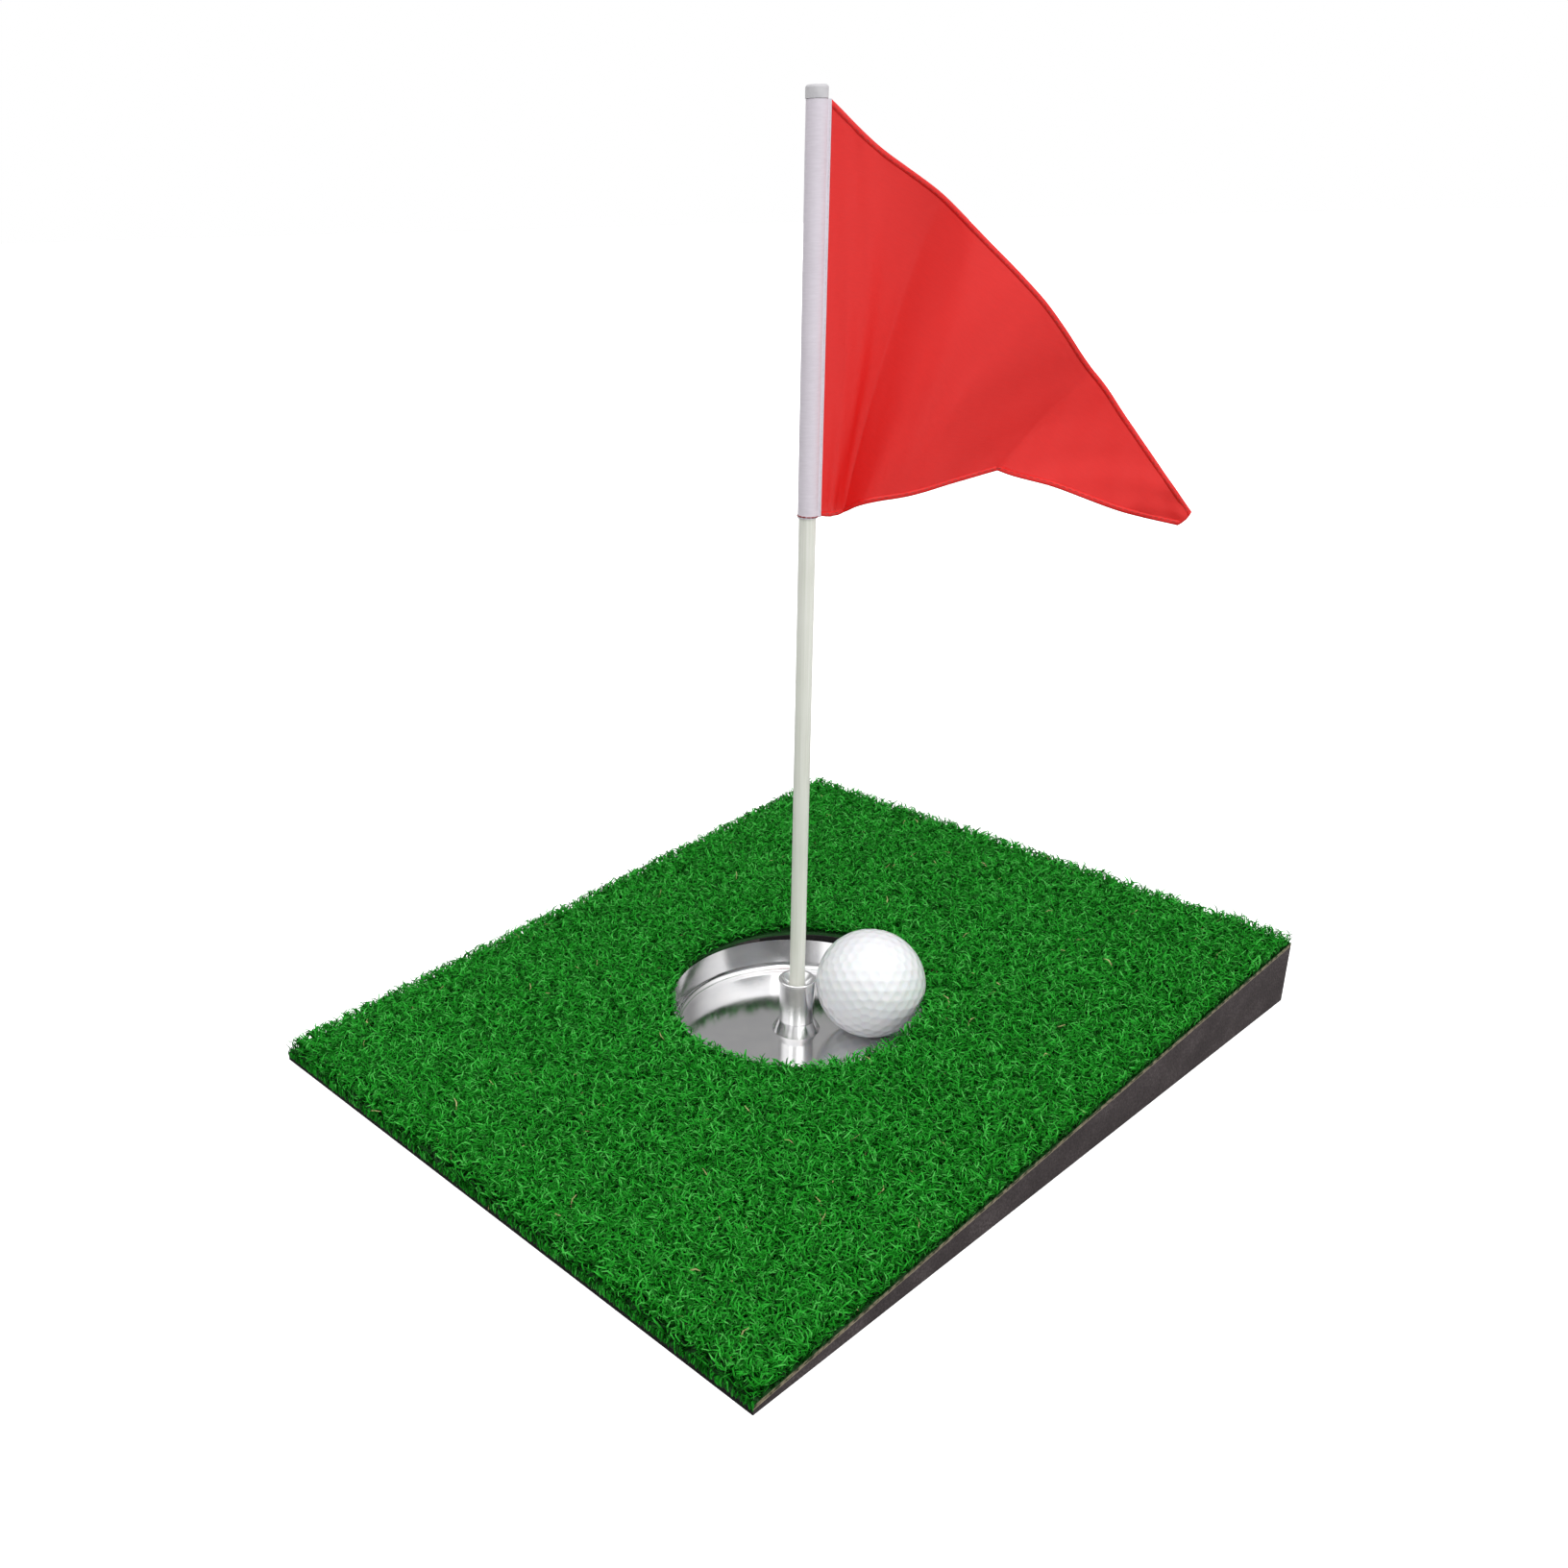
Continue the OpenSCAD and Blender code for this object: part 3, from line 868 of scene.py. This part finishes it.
def flag_points(u, v):
    """The flag's middle surface: points (len(v), len(u), 3) in the CAD model's frame."""
    hoist_out, hoist_foot = flag_origin()
    shares = np.array([line[0] for line in FLAG_LINES])
    sharp = np.array([line[1] for line in FLAG_LINES])
    result = np.zeros((len(v), len(u), 3))
    for row, t in enumerate(v):
        at = line_points(t)
        whole = curve_through(shares, at[:, :2], u)
        kinked = np.where(
            (u <= shares[CREASE])[:, None],
            curve_through(shares[: CREASE + 1], at[: CREASE + 1, :2], u),
            curve_through(shares[CREASE:], at[CREASE:, :2], u),
        )
        plane = whole * (1 - t) + kinked * t
        soft = curve_through(shares, at[:, 2:], u, keep_crests=True)[:, 0]
        crisp = np.interp(u, shares, at[:, 2])
        weight = np.interp(u, shares, sharp) * min(1.0, 0.25 + t)
        depth = soft * (1 - weight) + crisp * weight
        free = np.minimum(1, u / 0.08)
        ripple = 0.16 * np.sin(41 * u + 3 * t) * np.sin(7 * t + 9 * u) + 0.1 * np.sin(83 * u - 9 * t)
        depth = depth + ripple * free
        result[row] = (
            np.outer(hoist_out + plane[:, 0] * MM, FLAG_ALONG)
            + np.outer(depth * MM, FLAG_FACING)
            + np.outer(hoist_foot + plane[:, 1] * MM, (0, 0, 1))
        )
    return result


def surface_normals(points):
    """Unit normals of a grid of points, towards the flag's front."""
    along = np.gradient(points, axis=1)
    down = np.gradient(points, axis=0)
    normal = np.cross(down, along)
    normal /= np.maximum(np.linalg.norm(normal, axis=-1, keepdims=True), 1e-12)
    facing = np.sign(normal @ FLAG_FACING)
    return normal * np.where(facing == 0, 1, facing)[..., None]


def flat_map(made, values):
    """Stores each vertex's place on the flat cloth, in metres, as the UV map that the weave reads."""
    layer = made.data.uv_layers.new(name="flat")
    index = np.zeros(len(made.data.loops), np.int32)
    made.data.loops.foreach_get("vertex_index", index)
    layer.data.foreach_set("uv", values[index].astype(np.float32).ravel())


def grid_faces(rows, columns, offset=0, closed=False):
    """Quads of a grid of points in row order. closed joins the last column to the first."""
    wide = columns if closed else columns - 1
    r, c = np.meshgrid(np.arange(rows - 1), np.arange(wide), indexing="ij")
    right = (c + 1) % columns
    here, below = r * columns, (r + 1) * columns
    return np.stack([here + c, here + right, below + right, below + c], -1).reshape(-1, 4) + offset


def make_flag_panel():
    """The pennant: two faces a cloth's thickness apart, closed round the edges."""
    columns, rows = 230, 120
    u, v = np.linspace(0, 1, columns), np.linspace(0, 1, rows)
    middle = flag_points(u, v)
    normal = surface_normals(middle)
    half = 0.11 * MM
    front, back = middle + normal * half, middle - normal * half
    size = rows * columns
    points = np.concatenate([front.reshape(-1, 3), back.reshape(-1, 3)])
    faces = [grid_faces(rows, columns)[:, ::-1], grid_faces(rows, columns, size)]
    index = np.arange(size).reshape(rows, columns)
    ring = np.concatenate([index[0], index[1:, -1], index[-1, -2::-1], index[-2:0:-1, 0]])
    after = np.roll(ring, -1)
    faces.append(np.stack([ring, after, after + size, ring + size], -1))
    made = make_object("flag_cloth", points, np.concatenate(faces))
    width = FLAG_HOIST * (1 - u) + FLAG_TIP * u
    uu, vv = np.meshgrid(u * FLAG_LENGTH, v)
    flat = np.stack([uu, (0.5 - vv) * width[None, :]], -1).reshape(-1, 2)
    flat_map(made, np.concatenate([flat, flat]))
    made.data.materials.append(flag_cloth)
    return made


def hem_strip(name, top):
    """A narrow rolled hem along the flag's upper or lower edge: a flat loop swept along it."""
    u = np.linspace(0, 1, 320)
    wide = 1.7 * MM
    reach = np.array([1.0, 0.55, 0.12, -0.06, 0.12, 0.55, 1.0, 0.98])
    proud = np.array([0.13, 0.27, 0.24, 0.0, -0.24, -0.27, -0.13, 0.0]) * MM
    edge, inner = flag_points(u, np.array([0.0, 0.02] if top else [1.0, 0.98]))
    inward = inner - edge
    inward /= np.linalg.norm(inward, axis=1, keepdims=True)
    along = np.gradient(edge, axis=0)
    along /= np.linalg.norm(along, axis=1, keepdims=True)
    inward -= along * (inward * along).sum(1, keepdims=True)
    inward /= np.linalg.norm(inward, axis=1, keepdims=True)
    normal = np.cross(along, inward)
    normal *= np.sign(normal @ FLAG_FACING)[:, None]
    ring = len(reach)
    points = (
        edge[:, None]
        + inward[:, None] * (reach * wide)[None, :, None]
        + normal[:, None] * proud[None, :, None]
    )
    faces = grid_faces(len(u), ring, closed=True).tolist()
    faces.append(list(range(ring)))
    faces.append([(len(u) - 1) * ring + k for k in range(ring - 1, -1, -1)])
    made = make_object(name, points.reshape(-1, 3), faces)
    around = np.arange(ring) * 0.4 * MM
    uu, vv = np.meshgrid(u * FLAG_EDGE, around, indexing="ij")
    flat_map(made, np.stack([uu, vv], -1).reshape(-1, 2))
    made.data.materials.append(flag_cloth)
    return made, edge, inward, normal


STITCH_THICK = 0.16 * MM


def stitches(name, starts, ends, thickness, thread):
    """Short rounded threads between pairs of points, thinner at both ends."""
    sides, points, faces = 6, [], []
    profile = [(0.0, 0.35), (0.18, 0.9), (0.5, 1.0), (0.82, 0.9), (1.0, 0.35)]
    rings = len(profile)
    for a, b in zip(starts, ends):
        run = b - a
        length = np.linalg.norm(run)
        run = run / length
        aside = np.cross(run, (0.31, 0.52, 0.8))
        aside /= np.linalg.norm(aside)
        other = np.cross(run, aside)
        base = len(points)
        for share, fat in profile:
            for k in range(sides):
                angle = 2 * math.pi * k / sides
                points.append(
                    a + run * length * share
                    + (aside * math.cos(angle) + other * math.sin(angle)) * thickness / 2 * fat
                )
        faces += grid_faces(rings, sides, base, closed=True).tolist()
        faces.append([base + k for k in range(sides - 1, -1, -1)])
        faces.append([base + (rings - 1) * sides + k for k in range(sides)])
    made = make_object(name, points, faces)
    made.data.materials.append(thread)
    return made


def hem_stitches(name, edge, inward, normal):
    """A row of stitches on both faces of a hem."""
    run = np.concatenate([[0], np.cumsum(np.linalg.norm(np.diff(edge, axis=0), axis=1))])
    pitch, share = 2.3 * MM, 0.66
    starts, ends = [], []
    for side in (1, -1):
        row = edge + inward * 1.05 * MM + normal * 0.27 * MM * side
        for s in np.arange(2 * MM, run[-1] - 2 * MM, pitch):
            starts.append(np.array([np.interp(s, run, row[:, k]) for k in range(3)]))
            ends.append(np.array([np.interp(s + pitch * share, run, row[:, k]) for k in range(3)]))
    return stitches(name, starts, ends, STITCH_THICK, red_thread)


flag_cloth = cloth_material("flag_cloth", (0.74, 0.013, 0.011), (0.84, 0.017, 0.014), 0.22 * MM, 0.0, 0.36)
red_thread = thread_material("red_thread", (0.3, 0.012, 0.012))
white_thread = thread_material("white_thread", (0.8, 0.76, 0.82))


def make_flag():
    """The pennant with its two hems and their stitches."""
    panel = make_flag_panel()
    parts = []
    for name, top in (("upper", True), ("lower", False)):
        hem, edge, inward, normal = hem_strip(f"flag_hem_{name}", top)
        row = hem_stitches(f"flag_stitches_{name}", edge, inward, normal)
        parts += [hem, row]
    for piece in [panel, *parts]:
        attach(piece, "flag")
    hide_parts("flag_panel")


make_flag()


# ---------------------------------------------------------------- sleeve


def sleeve_outline(bore, thick, wobble):
    """Points round the sleeve's outside and round its bore, from one side of the seam to the other."""
    outer, inner = [], []
    opening, count = 0.34, 56
    for k in range(count + 1):
        angle = opening + (2 * math.pi - 2 * opening) * k / count
        swell = wobble * math.sin(3 * angle + 0.6) * math.sin(angle / 2) ** 2
        radius = bore + thick + swell
        outer.append((radius * math.cos(angle), radius * math.sin(angle)))
        inner.append((bore * math.cos(angle), bore * math.sin(angle)))
    return outer, inner


def sleeve_section(share, bore, thick, seam_out):
    """The sleeve cut across at a share of its height: its skin with the flat seam, and its bore."""
    wobble = (0.05 + 0.04 * math.sin(19 * share) + 0.03 * math.sin(47 * share + 1)) * MM
    outer, inner = sleeve_outline(bore, thick, wobble)
    flap, fold = 0.36 * MM, 0.35 * MM
    wave = 0.05 * MM * math.sin(33 * share) + 0.04 * MM * math.sin(71 * share)
    front = [
        (seam_out, flap + wave), (seam_out - fold, flap + 0.03 * MM + wave),
        (outer[0][0] + fold, flap + 0.12 * MM),
    ]
    back = [
        (outer[-1][0] + fold, -flap - 0.12 * MM),
        (seam_out - fold, -flap - 0.03 * MM + wave), (seam_out, -flap + wave),
    ]
    return [*front, *outer, *back, (seam_out + 0.02 * MM, wave)], inner[::-1]


def at_sleeve(point, z):
    """A point of the sleeve's cross-section, given along the flag and across it, at height z."""
    return FLAG_ALONG * point[0] + FLAG_FACING * -point[1] + np.array((0, 0, z))


def sleeve_mesh(low_z, high_z, bore, thick, seam_out):
    """The sewn tube: its skin and its bore swept up the rod and joined by a flat end above and below."""
    skin, hollow = [], []
    for z in np.linspace(low_z, high_z, 150):
        outside, inside = sleeve_section((z - low_z) / (high_z - low_z), bore, thick, seam_out)
        skin.append([at_sleeve(p, z) for p in outside])
        hollow.append([at_sleeve(p, z) for p in inside])
    rows, skin_size, hollow_size = len(skin), len(skin[0]), len(hollow[0])
    base = rows * skin_size
    faces = grid_faces(rows, skin_size, closed=True).tolist()
    faces += grid_faces(rows, hollow_size, base, closed=True).tolist()
    solid = bmesh.new()
    verts = [solid.verts.new(p) for ring in skin + hollow for p in ring]
    for face in faces:
        solid.faces.new([verts[k] for k in face])
    for row in (0, rows - 1):
        edges = []
        for start, size in ((row * skin_size, skin_size), (base + row * hollow_size, hollow_size)):
            for k in range(size):
                edges.append(solid.edges.get((verts[start + k], verts[start + (k + 1) % size])))
        bmesh.ops.triangle_fill(solid, use_beauty=True, edges=edges)
    bmesh.ops.recalc_face_normals(solid, faces=solid.faces)
    mesh = bpy.data.meshes.new("sleeve_cloth")
    solid.to_mesh(mesh)
    solid.free()
    mesh.polygons.foreach_set("use_smooth", np.ones(len(mesh.polygons), bool))
    mesh.set_sharp_from_angle(angle=math.radians(50))
    return mesh


def sleeve_seam_stitches(low_z, high_z, seam_out):
    """Stitches on both faces of the seam."""
    pitch = 2.2 * MM
    starts, ends = [], []
    for z in np.arange(low_z + 1.5 * MM, high_z - 3 * MM, pitch):
        for side in (1, -1):
            spot = FLAG_ALONG * (seam_out - 0.45 * MM) + FLAG_FACING * side * 0.42 * MM
            starts.append(spot + np.array((0, 0, z)))
            ends.append(spot + np.array((0, 0, z + pitch * 0.64)))
    return stitches("sleeve_seam_stitches", starts, ends, STITCH_THICK, white_thread)


def sleeve_hem_thread(low_z, outside):
    """The red thread round the sleeve's lower end."""
    radius = outside + 0.12 * MM
    hem = [
        FLAG_ALONG * radius * math.cos(a) + FLAG_FACING * radius * math.sin(a)
        + np.array((0, 0, low_z + (0.55 - 0.2 * math.cos(a)) * MM))
        for a in np.linspace(0, 2 * math.pi, 15)
    ]
    return stitches("sleeve_hem_thread", hem[:-1], hem[1:], 0.55 * MM, red_thread)


def make_sleeve():
    """The sewn sleeve with its seam's stitches and the thread round its lower end."""
    low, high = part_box("flag_sleeve")
    cloth = corners("flag_sleeve")
    bore = np.hypot(cloth[:, 0], cloth[:, 1]).min()
    outside = -(cloth @ FLAG_ALONG).min()
    seam_out = (cloth @ FLAG_ALONG).max()
    mesh = sleeve_mesh(low.z, high.z, bore, outside - bore, seam_out)
    made = bpy.data.objects.new("sleeve_cloth", mesh)
    scene.collection.objects.link(made)
    co = np.array([v.co for v in mesh.vertices])
    turn = np.arctan2(co @ FLAG_FACING, co @ FLAG_ALONG)
    flat_map(made, np.stack([turn * outside, co[:, 2]], -1))
    mesh.materials.append(sleeve_cloth)
    seam = sleeve_seam_stitches(low.z, high.z, seam_out)
    band = sleeve_hem_thread(low.z, outside)
    for piece in (made, seam, band):
        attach(piece, "flag")
    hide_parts("flag_sleeve")


sleeve_cloth = cloth_material("sleeve_cloth", (0.64, 0.585, 0.65), (0.8, 0.745, 0.82), 0.3 * MM, 0.15, 0.7)
make_sleeve()
